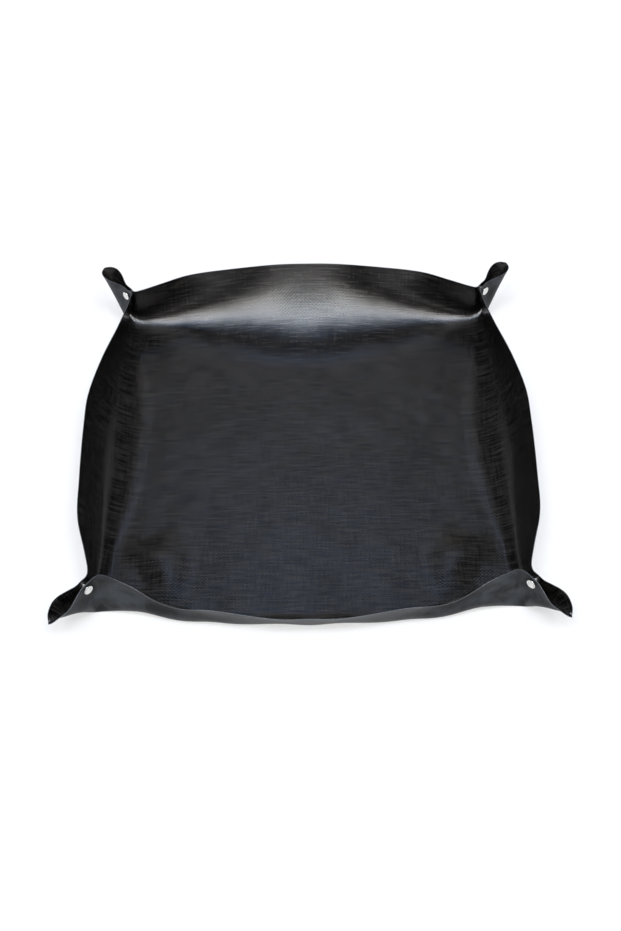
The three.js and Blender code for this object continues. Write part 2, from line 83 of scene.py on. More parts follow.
# %% Flat coordinates, with the corners drawn in to their radius
def flat_places(line_u, line_v):
    u, v = (np.array(a) for a in np.meshgrid(line_u, line_v, indexing="ij"))
    a = np.abs(u) - half + CORNER_RADIUS
    b = np.abs(v) - half + CORNER_RADIUS
    corner = (a > 0) & (b > 0)
    inward = np.maximum(a, b)[corner] / np.hypot(a, b)[corner]
    u[corner] = np.sign(u[corner]) * (half - CORNER_RADIUS + a[corner] * inward)
    v[corner] = np.sign(v[corner]) * (half - CORNER_RADIUS + b[corner] * inward)
    return u, v


row_line = np.concatenate([-edge_line[:0:-1], edge_line])
flat_u, flat_v = flat_places(edge_line, row_line)
print("nodes in the right half:", flat_u.size)

# %% [markdown]
# ## How it is folded first
# A settling shape slides to the nearest resting shape, so it has to start near the right one.
# The first folding is crude: a flat base, leaning walls, and each corner square folded along its
# diagonal into an ear.

# %% First folding
FOLD_DEPTH = 58.0
START_GAP = 1.5
START_BELLY = 8.0
START_BLEND = 6.0
back_keel_angle = math.radians(75)
front_keel_angle = math.radians(65)
wall_angle = math.radians(50)
fold_line = half - FOLD_DEPTH
ROOT = math.sqrt(0.5)


def first_folding():
    end = np.where(flat_v < 0, -1.0, 1.0)
    u, v = flat_u, np.abs(flat_v)
    a, b = np.maximum(0, u - fold_line), np.maximum(0, v - fold_line)
    keel = np.where(end > 0, back_keel_angle, front_keel_angle)
    reach = np.hypot(a, b)
    turn = np.arctan2(np.minimum(a, b), np.maximum(np.maximum(a, b), 1e-9))
    out = reach * np.cos(keel - turn) * ROOT
    belly = START_GAP + START_BELLY * np.sin(2 * turn) * reach / FOLD_DEPTH
    apart = np.sign(a - b) * belly * np.minimum(1, np.abs(a - b) / START_BLEND) * ROOT
    to_corner = (np.minimum(u, v) / fold_line) ** 3
    across = (1 - to_corner) * math.cos(wall_angle) + to_corner * np.cos(keel) * ROOT
    along = to_corner * np.cos(keel) * ROOT
    up = (1 - to_corner) * math.sin(wall_angle) + to_corner * np.sin(keel)
    wall = (a + b) / np.sqrt(across ** 2 + along ** 2 + up ** 2)
    in_corner = (a > 0) & (b > 0)
    x_wall, y_wall = wall * np.where(a > 0, across, along), wall * np.where(a > 0, along, across)
    x = np.minimum(u, fold_line) + np.where(in_corner, out + apart, x_wall)
    y = np.minimum(v, fold_line) + np.where(in_corner, out - apart, y_wall)
    z = np.where(in_corner, reach * np.sin(keel - turn), wall * up)
    return np.stack([x, end * y, z], axis=-1)


print("first folding stands", round(float(first_folding()[..., 2].max()), 1), "mm high")

# %% [markdown]
# ## What the sheet resists
# Three things make up the energy of the sheet. Threads resist stretching, the laminate resists
# bending, and weight pulls every node down onto the ground. Each is a sum over the grid, so numpy
# does it in slices, and the slope of the energy comes with it.

# %% Threads and bending
BENDING_LENGTH = 50.0
WEAVE_DEPTH = 1.5
SHEAR_SHARE = 0.3
stretch_stiffness = 12 / WEAVE_DEPTH ** 2
weight = 1 / BENDING_LENGTH ** 3


def flat_distance(a, b):
    return np.hypot(flat_u[a] - flat_u[b], flat_v[a] - flat_v[b])


low_i, high_i = np.s_[:-1, :], np.s_[1:, :]
low_j, high_j = np.s_[:, :-1], np.s_[:, 1:]
cell_a, cell_b, cell_c, cell_d = np.s_[:-1, :-1], np.s_[1:, :-1], np.s_[1:, 1:], np.s_[:-1, 1:]
cell_area = np.abs((flat_u[cell_c] - flat_u[cell_a]) * (flat_v[cell_d] - flat_v[cell_b])
                   - (flat_u[cell_d] - flat_u[cell_b]) * (flat_v[cell_c] - flat_v[cell_a])) / 2
node_area = np.zeros_like(flat_u)
for corner in (cell_a, cell_b, cell_c, cell_d):
    node_area[corner] += cell_area / 4
thread = stretch_stiffness * cell_area / 2
along_i, along_j = np.zeros_like(flat_u[low_i]), np.zeros_like(flat_u[low_j])
along_i[:, :-1] += thread
along_i[:, 1:] += thread
along_j[:-1, :] += thread
along_j[1:, :] += thread
threads = [
    (low_i, high_i, along_i, flat_distance(low_i, high_i)),
    (low_j, high_j, along_j, flat_distance(low_j, high_j)),
    (cell_a, cell_c, thread * SHEAR_SHARE, flat_distance(cell_a, cell_c)),
    (cell_b, cell_d, thread * SHEAR_SHARE, flat_distance(cell_b, cell_d)),
]


def bend_shares(before, middle, after):
    h0, h1 = flat_distance(before, middle), flat_distance(middle, after)
    scale = 2 / (h0 + h1)
    return scale / h0, -scale / h0 - scale / h1, scale / h1


bends = []
for before, middle, after in (
        (np.s_[:-2, :], np.s_[1:-1, :], np.s_[2:, :]),
        (np.s_[:, :-2], np.s_[:, 1:-1], np.s_[:, 2:])):
    bends.append(((before, middle, after), bend_shares(before, middle, after), node_area[middle]))
wide = (flat_distance(cell_a, cell_b) + flat_distance(cell_d, cell_c)) / 2
deep = (flat_distance(cell_a, cell_d) + flat_distance(cell_b, cell_c)) / 2
twist = 1 / (wide * deep)
bends.append(((cell_a, cell_b, cell_c, cell_d), (twist, -twist, twist, -twist), 2 / twist))
mirror_share = 2 / flat_distance(np.s_[0, :], np.s_[1, :]) ** 2
print("sheet area in square metres:", round(2 * float(cell_area.sum()) * MM ** 2, 4))

# %% [markdown]
# ## What holds the sheet
# A hold pulls one weighted place on the sheet, along one direction, to a value. The snaps hold
# the two layers of each ear at a set distance, and the hands that set the tray up leave its rim
# at the places the photograph shows: a high back, walls that bow out, and a front that slumps.

# %% Places on the sheet and the list of holds
holds = []
along_x, along_y, along_z = (1, 0, 0), (0, 1, 0), (0, 0, 1)


def pattern_place(u, v):
    def cell(value):
        size = min(abs(value), half * (1 - 1e-6))
        k = int(np.argmax(edge_line > size)) - 1
        return k, (size - edge_line[k]) / (edge_line[k + 1] - edge_line[k])

    (i, fu), (j, fv) = cell(u), cell(v)
    rows = [steps - j, steps - j - 1] if v < 0 else [steps + j, steps + j + 1]
    return [(i, rows[0], (1 - fu) * (1 - fv)), (i + 1, rows[0], fu * (1 - fv)),
            (i, rows[1], (1 - fu) * fv), (i + 1, rows[1], fu * fv)]


def hold(place, direction, value, give):
    holds.append((place, direction, value, 1 / give ** 2))


def corner_place(end, wall, inset, along):
    if wall > 0:
        return pattern_place(half - inset, end * (half - along))
    return pattern_place(half - along, end * (half - inset))


def across_fold(end):
    return (ROOT, -end * ROOT, 0)


def along_fold(end):
    return (ROOT, end * ROOT, 0)


# %% Snaps hold both layers of each ear
SNAP_GIVE = 0.07
SLIP_GIVE = 1.3
MOUTH_GIVE = 1.4
BACK_MOUTH_HALF = 8.5
FRONT_MOUTH_HALF = 12
for end in (1, -1):
    for wall in (1, -1):
        for a in (-CAP_RADIUS, 0, CAP_RADIUS):
            for b in (-CAP_RADIUS, 0, CAP_RADIUS):
                place = corner_place(end, wall, SNAP_INSET + a, SNAP_ALONG + b)
                hold(place, across_fold(end), wall * snap_half, SNAP_GIVE)
        mouth_half = BACK_MOUTH_HALF if end > 0 else FRONT_MOUTH_HALF
        mouth = corner_place(end, wall, 0, SNAP_ALONG / 2)
        hold(mouth, across_fold(end), wall * mouth_half, MOUTH_GIVE)
    outer = corner_place(end, 1, SNAP_INSET, SNAP_ALONG)
    inner = [(i, j, -share) for i, j, share in corner_place(end, -1, SNAP_INSET, SNAP_ALONG)]
    hold(outer + inner, along_fold(end), 0, SLIP_GIVE)
    hold(outer + inner, along_z, 0, SLIP_GIVE)
print("holds at the snaps:", len(holds))

# %% Hands leave the rim at these draw-ins and heights
HAND_GIVE = 1.3
RIM_MIDDLE = 30.0
SHOULDER_BEYOND_SNAP = 14.0
quarter = half / 2
shoulder = half - SNAP_ALONG - SHOULDER_BEYOND_SNAP
# Each row is a place on the flat rim, the way it is drawn in, how far, and how high it stands.
rim_posture = [
    (0, half, along_y, 20, 59.5),
    (RIM_MIDDLE, half, along_y, 20, 59.5),
    (half, 0, along_x, 27, 54),
    (half, RIM_MIDDLE, along_x, 27, 54),
    (0, -half, along_y, 15, 30.5),
    (RIM_MIDDLE, -half, along_y, 15, 30.5),
    (quarter, half, along_y, 32.5, 56.5),
    (half, quarter, along_x, 45, 53.5),
    (half, -quarter, along_x, 34, 51),
    (quarter, -half, along_y, 28, 34),
    (shoulder, half, along_y, 56, 53),
    (half, shoulder, along_x, 57, 53),
    (half, -shoulder, along_x, 50, 52),
    (shoulder, -half, along_y, 58, 54),
]
for u, v, direction, draw_in, height in rim_posture:
    outward = 1 if direction is along_x else math.copysign(1, v)
    hold(pattern_place(u, v), direction, outward * (half - draw_in), HAND_GIVE)
    hold(pattern_place(u, v), along_z, height, HAND_GIVE)
ear_tips = [(1, 26, 62), (-1, 12, 20)]
for end, draw_in, height in ear_tips:
    tip = [(steps, 2 * steps if end > 0 else 0, 1.0)]
    hold(tip, along_fold(end), (half - draw_in) / ROOT, HAND_GIVE)
    hold(tip, along_z, height, HAND_GIVE)
FRONT_FOOT_HALF = 120.0
FRONT_FOOT_HEIGHT = 3.5
front_foot_insets = [(0, 27), (0.5, 28.5), (1, 33)]
for share, inset in front_foot_insets:
    foot = pattern_place(share * FRONT_FOOT_HALF, inset - half)
    hold(foot, along_y, inset - half, HAND_GIVE)
    hold(foot, along_z, FRONT_FOOT_HEIGHT, HAND_GIVE)
hold_pull = np.zeros((len(holds), flat_u.size * 3))
for row, (place, direction, value, stiffness) in enumerate(holds):
    for i, j, share in place:
        at = 3 * (i * flat_u.shape[1] + j)
        hold_pull[row, at:at + 3] += share * np.array(direction)
hold_value = np.array([h[2] for h in holds])
hold_stiffness = np.array([h[3] for h in holds])
print("holds in all:", len(holds))

# %% Total energy and its slope
FLOOR_GIVE = 2.66
LAYER_GIVE = 0.45
LAYER_HALF_GAP = 0.8
floor = 1 / FLOOR_GIVE ** 4
near_fold = (flat_u > fold_line - 2 * SNAP_INSET) & (np.abs(flat_v) > fold_line - 2 * SNAP_INSET)
fold_end = np.where(flat_v < 0, -1.0, 1.0)[near_fold]
fold_apart = ((flat_u - np.abs(flat_v)) * ROOT)[near_fold]
fold_keel = np.abs(fold_apart) < half * 1e-9
fold_wanted = np.sign(fold_apart) * np.minimum(LAYER_HALF_GAP, np.abs(fold_apart))
fold_stiffness = np.where(fold_keel, 1 / SNAP_GIVE ** 2, 1 / LAYER_GIVE ** 2)


def total_energy(flat_x):
    X = flat_x.reshape(*flat_u.shape, 3)
    G = np.zeros_like(X)
    energy = 0.0
    for a, b, stiffness, rest in threads:
        d = X[b] - X[a]
        long = np.sqrt((d * d).sum(-1))
        strain = long / rest - 1
        energy += (stiffness * strain * strain).sum() / 2
        pull = (stiffness * strain / (rest * long))[..., None] * d
        G[a] -= pull
        G[b] += pull
    for places, shares, stiffness in bends:
        curve = sum(share[..., None] * X[place] for place, share in zip(places, shares))
        energy += (stiffness[..., None] * curve * curve).sum() / 2
        for place, share in zip(places, shares):
            G[place] += (stiffness * share)[..., None] * curve
    curve = mirror_share[:, None] * (X[1] - X[0]) * np.array([0, 1, 1])
    energy += (node_area[0][:, None] * curve * curve).sum() / 2
    G[1] += (node_area[0] * mirror_share)[:, None] * curve
    G[0] -= (node_area[0] * mirror_share)[:, None] * curve
    z = X[..., 2]
    below = np.minimum(0, z)
    energy += (node_area * (weight * z + floor * below * below / 2)).sum()
    G[..., 2] += node_area * (weight + floor * below)
    across = (X[..., 0][near_fold] - fold_end * X[..., 1][near_fold]) * ROOT
    short = across - np.where(fold_keel, 0, fold_wanted)
    short = np.where(fold_keel | (short * np.sign(fold_apart) < 0), short, 0)
    energy += (fold_stiffness * short * short).sum() / 2
    G[..., 0][near_fold] += fold_stiffness * short * ROOT
    G[..., 1][near_fold] -= fold_stiffness * short * ROOT * fold_end
    off = hold_pull @ flat_x - hold_value
    energy += (hold_stiffness * off * off).sum() / 2
    slope = G.reshape(-1) + hold_pull.T @ (hold_stiffness * off)
    slope[0:3 * flat_u.shape[1]:3] = 0
    return energy, slope


print("energy of the first folding:", round(total_energy(first_folding().reshape(-1))[0], 1))

# %% [markdown]
# ## Settling
# A quasi-Newton descent walks downhill in energy, remembering its last few steps so that it
# doesn't zigzag. It takes a few seconds and gives the same shape every time.


# %% Walk downhill until nothing moves
MOST_HALVINGS = 20
ENOUGH_FALL = 1e-4
FIRST_STEP_PARTS = 30


def settle(x, most_steps=6000, longest_share=0.006, rest=0.02, remembered=12):
    energy, slope = total_energy(x)
    memory = []
    for turn in range(most_steps):
        if np.abs(slope).max() * SHEET_SIDE < rest:
            break
        d = -slope
        shares = []
        for step, change, inverse in reversed(memory):
            shares.append(inverse * (step @ d))
            d = d - shares[-1] * change
        if memory:
            step, change, inverse = memory[-1]
            d = d / (inverse * (change @ change))
        else:
            d = d * SHEET_SIDE * longest_share / (FIRST_STEP_PARTS * np.abs(slope).max())
        for (step, change, inverse), share in zip(memory, reversed(shares)):
            d = d + (share - inverse * (change @ d)) * step
        downhill = slope @ d
        length = min(1.0, SHEET_SIDE * longest_share / np.abs(d).max())
        found = False
        for attempt in range(MOST_HALVINGS):
            if downhill >= 0:
                break
            next_x = x + length * d
            next_energy, next_slope = total_energy(next_x)
            found = next_energy <= energy + ENOUGH_FALL * length * downhill
            if found:
                break
            length /= 2
        if not found:
            if not memory:
                break
            memory = []
            continue
        step, change = next_x - x, next_slope - slope
        if step @ change > 0:
            memory = (memory + [(step, change, 1 / (step @ change))])[-remembered:]
        x, energy, slope = next_x, next_energy, next_slope
    print("settled in", turn, "steps, energy", round(float(energy), 2))
    return x


TOUCHES_GROUND = 0.25
settled = settle(first_folding().reshape(-1)).reshape(*flat_u.shape, 3)
on_ground = settled[..., 2] < TOUCHES_GROUND
settled[..., 2] = np.where(on_ground, 0, settled[..., 2]) + SHEET_THICKNESS / 2
whole = np.concatenate([settled[:0:-1] * [-1, 1, 1], settled])
to_origin = -(whole[..., 1].min() + whole[..., 1].max()) / 2
whole[..., 1] += to_origin
print("rim heights, back and front:", whole[steps, -1, 2].round(1), whole[steps, 0, 2].round(1))
print("box of the middle surface:", whole.min((0, 1)).round(1), whole.max((0, 1)).round(1))

# %% [markdown]
# ## From settled nodes to a smooth skin
# The settled grid is coarse, so a natural cubic spline is drawn through its lines in both
# directions and read off at closer places. Extra lines lie at the pressed line along the edge.

# %% Splines through the settled grid
REFINE = 3
EDGE_BAND = 2.4
EDGE_GROOVE = 0.9
EDGE_ROUNDING = 0.3
LINE_CLEARANCE = 0.5
whole_line = np.concatenate([-edge_line[:0:-1], edge_line])


def spline_shares(knots, places):
    n = len(knots)
    h = np.diff(knots)
    left, right = np.eye(n), np.zeros((n, n))
    for k in range(1, n - 1):
        left[k, k - 1:k + 2] = h[k - 1], 2 * (h[k - 1] + h[k]), h[k]
        right[k, k - 1:k + 2] = 6 / h[k - 1], -6 / h[k - 1] - 6 / h[k], 6 / h[k]
    second = np.linalg.solve(left, right)
    rows = []
    for place in places:
        k = int(np.clip(np.searchsorted(knots, place) - 1, 0, n - 2))
        t = (place - knots[k]) / h[k]
        shares = np.zeros(n)
        shares[k], shares[k + 1] = 1 - t, t
        bow = h[k] ** 2 / 6
        shares += bow * (((1 - t) ** 3 - (1 - t)) * second[k] + (t ** 3 - t) * second[k + 1])
        rows.append(shares)
    return np.array(rows)


def fine_lines():
    places = []
    for a, b in zip(whole_line[:-1], whole_line[1:]):
        places += list(a + (b - a) * np.arange(REFINE) / REFINE)
    places = np.array(places + [whole_line[-1]])
    groove_lines = [EDGE_BAND - EDGE_GROOVE, EDGE_BAND - EDGE_GROOVE / 2, EDGE_BAND]
    edge = np.array([EDGE_ROUNDING] + groove_lines)
    inner = places[np.abs(places) < half - EDGE_BAND - LINE_CLEARANCE]
    return np.concatenate([[-half], edge - half, inner, half - edge[::-1], [half]])


lines = fine_lines()
shares = spline_shares(whole_line, lines)
surface = np.einsum("ai,ijc,bj->abc", shares, whole, shares)
fine_u, fine_v = flat_places(lines, lines)
print("fine grid:", surface.shape[:2])

# %% [markdown]
# ## Two skins and the cut edge
# The real sheet is a woven scrim between two films, about half a millimetre in all. Solidify
# could thicken a surface, but here both skins are written out, because a pressed line near the
# edge thins the sheet, and because the places on the skins must keep their flat coordinates.

# %% Normals of the middle surface, and both skins
surface[..., 2] = np.maximum(surface[..., 2], SHEET_THICKNESS / 2)
cell_normal = np.cross(surface[cell_c] - surface[cell_a], surface[cell_d] - surface[cell_b])
normal = np.zeros_like(surface)
for corner in (cell_a, cell_b, cell_c, cell_d):
    normal[corner] += cell_normal
normal[surface[..., 2] <= SHEET_THICKNESS / 2] = (0, 0, 1)
normal /= np.linalg.norm(normal, axis=-1)[..., None]


def edge_distance(u, v):
    a, b = np.abs(u) - half + CORNER_RADIUS, np.abs(v) - half + CORNER_RADIUS
    beyond = np.where((a > 0) & (b > 0), np.hypot(a, b), np.maximum(a, b))
    return CORNER_RADIUS - beyond


PRESSED_SHARE = 0.4
from_edge = edge_distance(fine_u, fine_v)
in_groove = np.clip(1 - np.abs(from_edge - EDGE_BAND + EDGE_GROOVE / 2) / (EDGE_GROOVE / 2), 0, 1)
skin_gap = SHEET_THICKNESS / 2 * (1 - PRESSED_SHARE * in_groove)[..., None]
inner_skin = surface + normal * skin_gap
outer_skin = surface - normal * skin_gap
outer_skin[..., 2] = np.maximum(outer_skin[..., 2], 0)
print("thinnest place of the sheet:", round(2 * float(skin_gap.min()), 2), "mm")


# %% One closed mesh from any set of grid cells
def sheet_piece(name, chosen):
    used = np.zeros(surface.shape[:2], bool)
    for corner in (cell_a, cell_b, cell_c, cell_d):
        used[corner] |= chosen
    number = np.full(surface.shape[:2], -1)
    count = int(used.sum())
    number[used] = np.arange(count)
    a, b, c, d = (number[corner][chosen] for corner in (cell_a, cell_b, cell_c, cell_d))
    faces = [np.stack([a, b, c, d], 1), np.stack([a, d, c, b], 1) + [count]]
    padded = np.pad(chosen, 1)
    rims = []
    for near, first, second in (
            (padded[1:-1, :-2], cell_a, cell_b), (padded[2:, 1:-1], cell_b, cell_c),
            (padded[1:-1, 2:], cell_c, cell_d), (padded[:-2, 1:-1], cell_d, cell_a)):
        open_side = chosen & ~near
        p, q = number[first][open_side], number[second][open_side]
        rims.append(np.stack([p, p + count, q + count, q], 1))
    skins = np.concatenate(faces)
    rim = np.concatenate(rims)
    mesh = bpy.data.meshes.new(name)
    points = np.concatenate([inner_skin[used], outer_skin[used]]) * MM
    mesh.from_pydata(points.tolist(), [], np.concatenate([skins, rim]).tolist())
    vertex_normal = np.concatenate([normal[used], -normal[used]])
    loops = np.zeros(len(mesh.loops), np.int32)
    mesh.loops.foreach_get("vertex_index", loops)
    loop_normal = vertex_normal[loops]
    flat_faces = np.zeros(len(mesh.polygons) * 3)
    mesh.polygons.foreach_get("normal", flat_faces)
    loop_normal[4 * len(skins):] = np.repeat(flat_faces.reshape(-1, 3)[len(skins):], 4, axis=0)
    mesh.polygons.foreach_set("use_smooth", np.ones(len(mesh.polygons), bool))
    mesh.normals_split_custom_set(loop_normal.tolist())
    flat = np.tile(np.stack([fine_u[used], fine_v[used]], 1), (2, 1))
    mesh.uv_layers.new(name="flat_mm").data.foreach_set("uv", flat[loops].astype(np.float32).ravel())
    edge = mesh.attributes.new("edge_mm", "FLOAT", "POINT")
    edge.data.foreach_set("value", np.tile(from_edge[used], 2).astype(np.float32))
    for finish in (coated_sheet, coated_back, cut_edge):
        mesh.materials.append(finish)
    finish_of = np.repeat([0, 1, 2], [len(faces[0]), len(faces[1]), len(rim)])
    mesh.polygons.foreach_set("material_index", finish_of.astype(np.int32))
    piece = bpy.data.objects.new(name, mesh)
    bpy.context.collection.objects.link(piece)
    print(name, "has", len(mesh.polygons), "faces")
    return piece, flat


# %% [markdown]
# ## One way to add a node
# A material or a Geometry Nodes tree is a list of nodes, their settings and what runs into them,
# so one small function is enough for every kind.


# %% Adding nodes, and colours as they are written on screen
def add_node(tree, kind, inputs=None, **settings):
    node = tree.nodes.new(kind)
    for name, value in settings.items():
        setattr(node, name, value)
    for name, value in (inputs or {}).items():
        if isinstance(value, bpy.types.NodeSocket):
            tree.links.new(value, node.inputs[name])
        else:
            node.inputs[name].default_value = value
    return node


def from_hex(code):
    shares = [int(code[k:k + 2], 16) / 255 for k in (1, 3, 5)]
    return [c / 12.92 if c <= 0.04045 else ((c + 0.055) / 1.055) ** 2.4 for c in shares] + [1.0]


def new_material(name):
    material = bpy.data.materials.new(name)
    material.use_nodes = True
    material.node_tree.nodes.clear()
    return material, material.node_tree


print("a film written #242220 has the linear colour", [round(c, 4) for c in from_hex("#242220")])

# %% [markdown]
# ## Black coated woven polyethylene
# Thin polyethylene tapes are woven and a black film is melted onto both sides. The film is
# semi-gloss, and the weave below prints through it as a fine relief. A tape now and then lies
# higher or has a thinner film on it, and shows as a paler streak along the threads. A picture of
# a real sheet could be wrapped round it, but noise drawn out along the threads never repeats. The
# pattern follows the sheet over every fold, so it reads the flat coordinates and not the
# object's. The outer face has been handled and laid on soil, so it is greyer and duller.

# %% Real sizes of the weave, in millimetres
# The real tapes are little over 1 mm wide, too fine to show here, so they are drawn coarser.
TAPE_PITCH = 1.9
# A wave texture of scale 1 runs through 20 radians a unit, so this scale makes one wave a unit.
WAVE_TO_PERIOD = 0.31416
STREAK_LENGTH = 26.0
STREAK_WIDTH = 1.9
WEFT_SHARE = 2.2
LAID_WAVE = 60.0
print("tapes in the whole sheet, one way:", round(SHEET_SIDE / TAPE_PITCH))


# %% Relief shared by both faces: laid waves, then streaks, then the weave itself
def noise(tree, at, length_u, length_v, detail=2.0):
    place = add_node(tree, "ShaderNodeMapping", {
        "Vector": at, "Scale": (1 / length_u, 1 / length_v, 1)})
    return add_node(tree, "ShaderNodeTexNoise", {
        "Vector": place.outputs[0], "Scale": 1.0, "Detail": detail, "Roughness": 0.6}).outputs["Fac"]


def tape_streaks(tree, at):
    weft = noise(tree, at, STREAK_LENGTH, STREAK_WIDTH)
    warp = noise(tree, at, STREAK_WIDTH, STREAK_LENGTH)
    both = add_node(tree, "ShaderNodeMath", {
        0: weft, 1: WEFT_SHARE, 2: warp}, operation="MULTIPLY_ADD")
    return both.outputs[0]


def woven_relief(tree, at, streaks, wave_depth, streak_depth, weave_depth):
    half_tapes = []
    for way in ("X", "Y"):
        tapes = add_node(tree, "ShaderNodeTexWave", {
            "Vector": at, "Scale": WAVE_TO_PERIOD / (2 * TAPE_PITCH)}, bands_direction=way)
        half_tapes.append(add_node(tree, "ShaderNodeMath", {
            0: tapes.outputs["Fac"], 1: 0.5}, operation="SUBTRACT"))
    weave = add_node(tree, "ShaderNodeMath", {
        0: half_tapes[0].outputs[0], 1: half_tapes[1].outputs[0]}, operation="MULTIPLY").outputs[0]
    waves = noise(tree, at, LAID_WAVE, LAID_WAVE)
    laid = None
    for height, depth in ((waves, wave_depth), (streaks, streak_depth), (weave, weave_depth)):
        inputs = {"Height": height, "Strength": 1.0, "Distance": depth * MM}
        if laid:
            inputs["Normal"] = laid.outputs[0]
        laid = add_node(tree, "ShaderNodeBump", inputs)
    return laid.outputs[0]


# %% Inner face: near-black film, with painted shade along the pressed line
coated_sheet, tree = new_material("black_coated_woven_polyethylene")
flat_at = add_node(tree, "ShaderNodeUVMap", uv_map="flat_mm").outputs[0]
edge_at = add_node(tree, "ShaderNodeAttribute", attribute_name="edge_mm").outputs["Fac"]
line_gap = add_node(tree, "ShaderNodeMath", {
    0: edge_at, 1: EDGE_BAND - EDGE_GROOVE / 2}, operation="SUBTRACT")
line_near = add_node(tree, "ShaderNodeMath", {0: line_gap.outputs[0]}, operation="ABSOLUTE")
outside_painted_groove_shade = add_node(tree, "ShaderNodeMapRange", {
    "Value": line_near.outputs[0], "From Min": EDGE_GROOVE / 3, "From Max": EDGE_GROOVE,
    "To Min": 0.2, "To Max": 1.0})
clouds = noise(tree, flat_at, 70.0, 90.0)
streaks = tape_streaks(tree, flat_at)
streak_share = add_node(tree, "ShaderNodeMapRange", {
    "Value": streaks, "From Min": 1.3, "From Max": 1.92})
film = add_node(tree, "ShaderNodeMix", {
    0: streak_share.outputs[0], 6: from_hex("#020203"), 7: from_hex("#242220")}, data_type="RGBA")
# Painted shade: along the pressed line the film colour is mixed toward #040405, as shade in its groove.
film_with_painted_groove_shade = add_node(tree, "ShaderNodeMix", {
    0: outside_painted_groove_shade.outputs[0], 6: from_hex("#040405"), 7: film.outputs[2]}, data_type="RGBA")
gloss = add_node(tree, "ShaderNodeMapRange", {
    "Value": clouds, "From Min": 0.3, "From Max": 0.7, "To Min": 0.17, "To Max": 0.27})
film_shader = add_node(tree, "ShaderNodeBsdfPrincipled", {
    "Base Color": film_with_painted_groove_shade.outputs[2], "Roughness": gloss.outputs[0], "IOR": 1.51,
    "Normal": woven_relief(tree, flat_at, streaks, 1.1, 0.08, 0.2)})
add_node(tree, "ShaderNodeOutputMaterial", {"Surface": film_shader.outputs[0]})
print("inner face has", len(tree.nodes), "nodes")

# %% Outer face: the same film, greyed by handling, with cloudy rubbed patches
coated_back, tree = new_material("rubbed_coated_woven_polyethylene")
flat_at = add_node(tree, "ShaderNodeUVMap", uv_map="flat_mm").outputs[0]
rubbed = noise(tree, flat_at, 26.0, 20.0, 4.0)
rubbed_share = add_node(tree, "ShaderNodeMapRange", {
    "Value": rubbed, "From Min": 0.4, "From Max": 0.62, "To Min": 0.0, "To Max": 1.0})
back_shade = add_node(tree, "ShaderNodeMix", {
    0: rubbed_share.outputs[0], 6: from_hex("#0a0b0d"), 7: from_hex("#303336")}, data_type="RGBA")
back_gloss = add_node(tree, "ShaderNodeMapRange", {
    "Value": rubbed, "From Min": 0.3, "From Max": 0.7, "To Min": 0.38, "To Max": 0.52})
back_shader = add_node(tree, "ShaderNodeBsdfPrincipled", {
    "Base Color": back_shade.outputs[2], "Roughness": back_gloss.outputs[0], "IOR": 1.51,
    "Specular IOR Level": 0.25,
    "Normal": woven_relief(tree, flat_at, tape_streaks(tree, flat_at), 2.0, 0.08, 0.08)})
add_node(tree, "ShaderNodeOutputMaterial", {"Surface": back_shader.outputs[0]})
print("outer face has", len(tree.nodes), "nodes")

# %% The cut edge shows the pale ends of the tapes between the two films
cut_edge, tree = new_material("cut_laminate_edge")
flat_at = add_node(tree, "ShaderNodeUVMap", uv_map="flat_mm").outputs[0]
tape_ends = add_node(tree, "ShaderNodeTexNoise", {
    "Vector": flat_at, "Scale": 1 / TAPE_PITCH, "Detail": 1.0})
edge_shade = add_node(tree, "ShaderNodeMix", {
    0: tape_ends.outputs["Fac"], 6: from_hex("#2e3134"), 7: from_hex("#585b5e")}, data_type="RGBA")
edge_shader = add_node(tree, "ShaderNodeBsdfPrincipled", {
    "Base Color": edge_shade.outputs[2], "Roughness": 0.55, "IOR": 1.51})
add_node(tree, "ShaderNodeOutputMaterial", {"Surface": edge_shader.outputs[0]})
print("cut edge has", len(tree.nodes), "nodes")

# %% [markdown]
# ## The sheet, in one main piece and four corner layers
# When a snap opens, only the layer of cloth that carries its socket moves. A layer that can move
# has to be a piece of its own here, so the sheet's cells are shared out: four patches round the
# sockets, and all the rest. They meet edge to edge with the same normals, so no seam shows.

# %% Share out the cells
PATCH_INSET = 42.0
PATCH_FROM = 8.0
PATCH_TO = 110.0
middle_line = (lines[:-1] + lines[1:]) / 2
cell_u, cell_v = np.meshgrid(middle_line, middle_line, indexing="ij")
corners = {"fl": (-1, -1), "fr": (1, -1), "bl": (-1, 1), "br": (1, 1)}
patches = {
    name: (side * cell_u > half - PATCH_INSET)
    & (end * cell_v > half - PATCH_TO) & (end * cell_v < half - PATCH_FROM)
    for name, (side, end) in corners.items()
}
in_patches = np.logical_or.reduce(list(patches.values()))
main_sheet, _ = sheet_piece("potting_sheet", ~in_patches)
print("cells in each patch:", {name: int(p.sum()) for name, p in patches.items()})


# %% How far a corner layer follows its socket, from 0 to 1
# Each pair is where the layer starts to follow, and how far on it follows in full, in mm.
BY_INSET = (38, 24)
BY_LENGTH = (104, 46)
BY_FOLD = (10, 20)


def soft_step(t):
    t = np.clip(t, 0, 1)
    return t * t * (3 - 2 * t)


def follow_share(flat, side, end):
    inset, along = half - side * flat[:, 0], half - end * flat[:, 1]
    return (soft_step((BY_INSET[0] - inset) / BY_INSET[1])
            * soft_step((BY_LENGTH[0] - along) / BY_LENGTH[1])
            * soft_step((along - inset - BY_FOLD[0]) / BY_FOLD[1]))


layers = {}
for name, (side, end) in corners.items():
    layer, layer_flat = sheet_piece(f"corner_layer_{name}", patches[name])
    layers[name] = (layer, follow_share(layer_flat, side, end))
    print(name, "follows its socket by at most", round(float(layers[name][1].max()), 3))

# %% [markdown]
# ## Press snaps
# A press snap is four turned pieces: a cap and a stud on one layer, a cap and a socket on the
# other, clenched through the cloth. Each is drawn once as half a profile, in mm from the fold's
# middle plane. A Geometry Nodes tree turns that profile and sets it at every snap of its kind.

